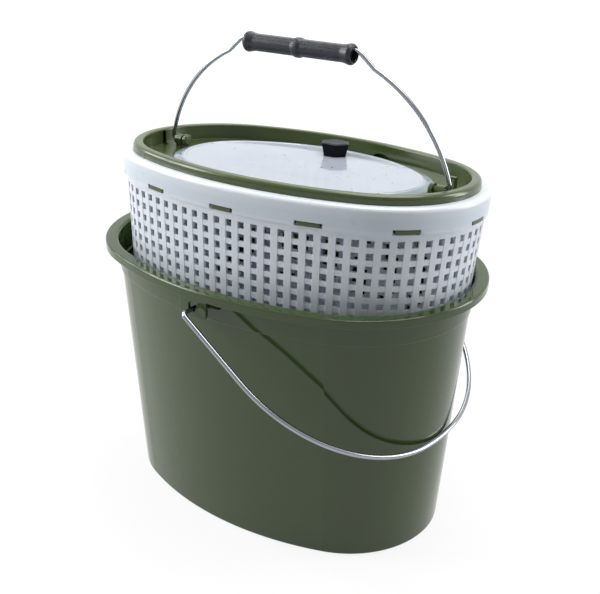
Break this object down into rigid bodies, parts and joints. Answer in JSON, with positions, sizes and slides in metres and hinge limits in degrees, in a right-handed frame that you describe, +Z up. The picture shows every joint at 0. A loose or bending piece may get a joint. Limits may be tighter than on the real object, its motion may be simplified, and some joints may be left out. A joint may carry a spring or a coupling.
{
  "type": "bait bucket",
  "caption": "Oval bait bucket with a wire bail and a lift-out sieve basket that has a clip-on ring, a hinged clear lid with a knob, and a second wire bail with a grip.",
  "frame": {"origin": "middle of the bounding box on the resting plane, which is the middle of the bucket's underside", "axes": "+X along the oval, +Y to the back, +Z up; the basket stands tilted and turned a few degrees in the bucket's mouth"},
  "size_m": [0.356, 0.275, 0.4077],
  "materials": {
    "olive_plastic": "gloss",
    "white_plastic": "satin",
    "zinc_wire": "bright zinc plated",
    "black_plastic": "satin",
    "clear_plastic": "clear"
  },
  "bodies": {
    "bucket": {"outer_bucket": "olive_plastic"},
    "outer_bail": {"outer_bail": "zinc_wire"},
    "basket": {"sieve_basket": "white_plastic", "top_ring": "olive_plastic", "lid_hinge_pin": "zinc_wire"},
    "lid": {"lid": "clear_plastic", "lid_knob": "black_plastic", "knob_screw": "zinc_wire"},
    "basket_bail": {"basket_bail": "zinc_wire", "bail_cap_left": "olive_plastic", "bail_cap_right": "olive_plastic"},
    "grip": {"handle_grip": "black_plastic"}
  },
  "joints": [
    {"name": "outer_bail_hinge", "type": "hinge", "parent": "bucket", "child": "outer_bail", "pos_m": [0, 0, 0.2134], "axis": [0, -1, 0], "range_deg": [0, 61]},
    {"name": "basket_lift", "type": "slide", "parent": "bucket", "child": "basket", "axis": [0, 0, 1], "range_m": [0, 0.2]},
    {"name": "lid_hinge", "type": "hinge", "parent": "basket", "child": "lid", "pos_m": [0.01125, -0.08293, 0.30536], "axis": [0.9981, 0.0609, -0.0037], "range_deg": [0, 26]},
    {"name": "basket_bail_hinge", "type": "hinge", "parent": "basket", "child": "basket_bail", "pos_m": [0.0058, 0.00617, 0.30371], "axis": [0.9981, 0.0609, -0.0037], "range_deg": [-87, 73]},
    {"name": "grip_spin", "type": "hinge", "parent": "basket_bail", "child": "grip", "pos_m": [0.00651, 0.00035, 0.39913], "axis": [0.9981, 0.0609, -0.0037], "continuous": true}
  ]
}
